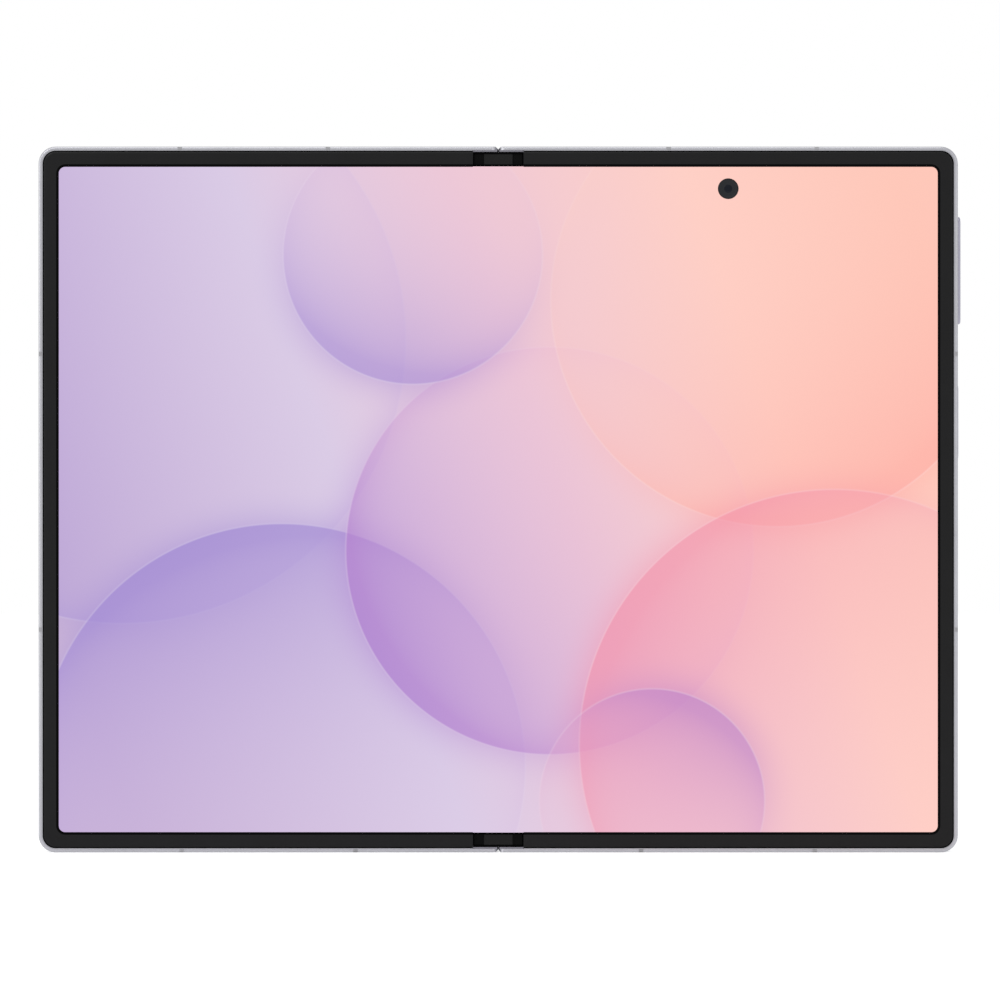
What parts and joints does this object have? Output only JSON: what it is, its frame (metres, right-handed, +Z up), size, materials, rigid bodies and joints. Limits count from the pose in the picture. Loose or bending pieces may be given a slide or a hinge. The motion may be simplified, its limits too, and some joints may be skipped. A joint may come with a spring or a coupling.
{
  "type": "foldable smartphone",
  "caption": "Book-style folding phone: two slim metal halves joined by a geared rail hinge under one wide flexible screen, with keys, port and card tray.",
  "frame": {"origin": "middle of the lower edge of the open phone, at the hinge line and half way through its thickness", "axes": "+X across the open phone towards the half with the keys, +Z up to the top edge, the inner screen faces -Y"},
  "size_m": [0.162, 0.0069, 0.1239],
  "materials": {
    "frame_metal": "fine satin anodised",
    "band_plastic": "satin",
    "bezel_black": "soft satin",
    "display": "lit screen under a glossy film",
    "hinge_steel": "brushed",
    "lens_black": "glossy",
    "back_glass": "frosted",
    "island_metal": "satin",
    "ring_metal": "polished edge",
    "lens_glass": "coated",
    "flash": "clear",
    "board": "solder mask",
    "shield": "stamped",
    "cell": "foil pouch",
    "copper": "enamelled wire",
    "port_steel": "drawn",
    "module_black": "moulded",
    "magnet": "plated",
    "screw": "blackened",
    "contact_gold": "plated",
    "key_metal": "satin anodised",
    "cover_glass": "glossy",
    "spine_metal": "satin",
    "bracket_steel": "sintered",
    "gear_steel": "ground",
    "flex": "polyimide"
  },
  "bodies": {
    "right_half": {"right_frame": "frame_metal", "right_antenna_bands": "band_plastic", "right_bezel": "bezel_black", "display_right_panel": "display", "right_wing_plate": "hinge_steel", "right_upper_rail": "hinge_steel", "right_lower_rail": "hinge_steel", "right_rail_screws": "screw", "inner_camera": "lens_black", "right_back_glass": "back_glass", "camera_island": "island_metal", "rear_lens_rings": "ring_metal", "rear_lens_glasses": "lens_glass", "rear_camera_modules": "module_black", "flash_lens": "flash", "main_board": "board", "board_shields": "shield", "right_battery": "cell", "charging_coil": "copper", "charging_port": "port_steel", "sub_board": "board", "lower_speaker": "module_black", "vibration_motor": "shield", "right_magnets": "magnet", "right_board_screws": "screw", "key_switches": "contact_gold"},
    "spine": {"spine_cover": "spine_metal", "upper_hinge_bracket": "bracket_steel", "lower_hinge_bracket": "bracket_steel", "gear_retainers": "hinge_steel", "centre_plate": "hinge_steel", "spine_end_caps": "bezel_black", "torque_clips": "bracket_steel", "bracket_screws": "screw", "hinge_flex": "flex", "display_fold_zone": "display"},
    "left_half": {"left_frame": "frame_metal", "left_antenna_bands": "band_plastic", "left_bezel": "bezel_black", "display_left_panel": "display", "left_wing_plate": "hinge_steel", "left_upper_rail": "hinge_steel", "left_lower_rail": "hinge_steel", "left_rail_screws": "screw", "cover_glass": "cover_glass", "cover_display_panel": "module_black", "cover_camera": "lens_black", "left_battery": "cell", "left_board": "board", "upper_speaker": "module_black", "left_magnets": "magnet", "left_board_screws": "screw", "card_socket": "port_steel"},
    "volume_key": {"volume_key": "key_metal"},
    "power_key": {"power_key": "key_metal"},
    "card_tray": {"card_tray": "frame_metal"},
    "right_outer_gear": {"right_outer_gears": "gear_steel"},
    "right_inner_gear": {"right_inner_gears": "gear_steel"},
    "left_inner_gear": {"left_inner_gears": "gear_steel"},
    "left_outer_gear": {"left_outer_gears": "gear_steel"}
  },
  "joints": [
    {"name": "right_fold", "type": "hinge", "parent": "spine", "child": "right_half", "pos_m": [0.0015, -0.00105, 0], "axis": [0, 0, -1], "range_deg": [0, 90], "deforming": ["display_fold_zone", "hinge_flex"]},
    {"name": "left_fold", "type": "hinge", "parent": "spine", "child": "left_half", "pos_m": [-0.0015, -0.00105, 0], "axis": [0, 0, 1], "range_deg": [0, 90]},
    {"name": "right_outer_gear_turn", "type": "hinge", "parent": "spine", "child": "right_outer_gear", "pos_m": [0.0018, 0.00011, 0], "axis": [0, 0, 1], "range_deg": [-270, 0]},
    {"name": "right_inner_gear_turn", "type": "hinge", "parent": "spine", "child": "right_inner_gear", "pos_m": [0.0006, 0.00011, 0], "axis": [0, 0, 1], "range_deg": [0, 270]},
    {"name": "left_inner_gear_turn", "type": "hinge", "parent": "spine", "child": "left_inner_gear", "pos_m": [-0.0006, 0.00011, 0], "axis": [0, 0, 1], "range_deg": [-270, 0]},
    {"name": "left_outer_gear_turn", "type": "hinge", "parent": "spine", "child": "left_outer_gear", "pos_m": [-0.0018, 0.00011, 0], "axis": [0, 0, 1], "range_deg": [0, 270]},
    {"name": "volume_tilt", "type": "hinge", "parent": "right_half", "child": "volume_key", "pos_m": [0.08015, 0.00025, 0.1022], "axis": [0, 1, 0], "range_deg": [-1, 1], "stiffness_Nm_per_rad": 0.5},
    {"name": "power_press", "type": "slide", "parent": "right_half", "child": "power_key", "axis": [-1, 0, 0], "range_m": [0, 0.00015], "stiffness_N_per_m": 2000},
    {"name": "card_tray_slide", "type": "slide", "parent": "left_half", "child": "card_tray", "axis": [-1, 0, 0], "range_m": [0, 0.018]}
  ],
  "couplings": [
    {"joint": "right_fold", "follows": "left_fold", "ratio": 1},
    {"joint": "right_outer_gear_turn", "follows": "left_fold", "ratio": -3},
    {"joint": "right_inner_gear_turn", "follows": "left_fold", "ratio": 3},
    {"joint": "left_inner_gear_turn", "follows": "left_fold", "ratio": -3},
    {"joint": "left_outer_gear_turn", "follows": "left_fold", "ratio": 3}
  ]
}
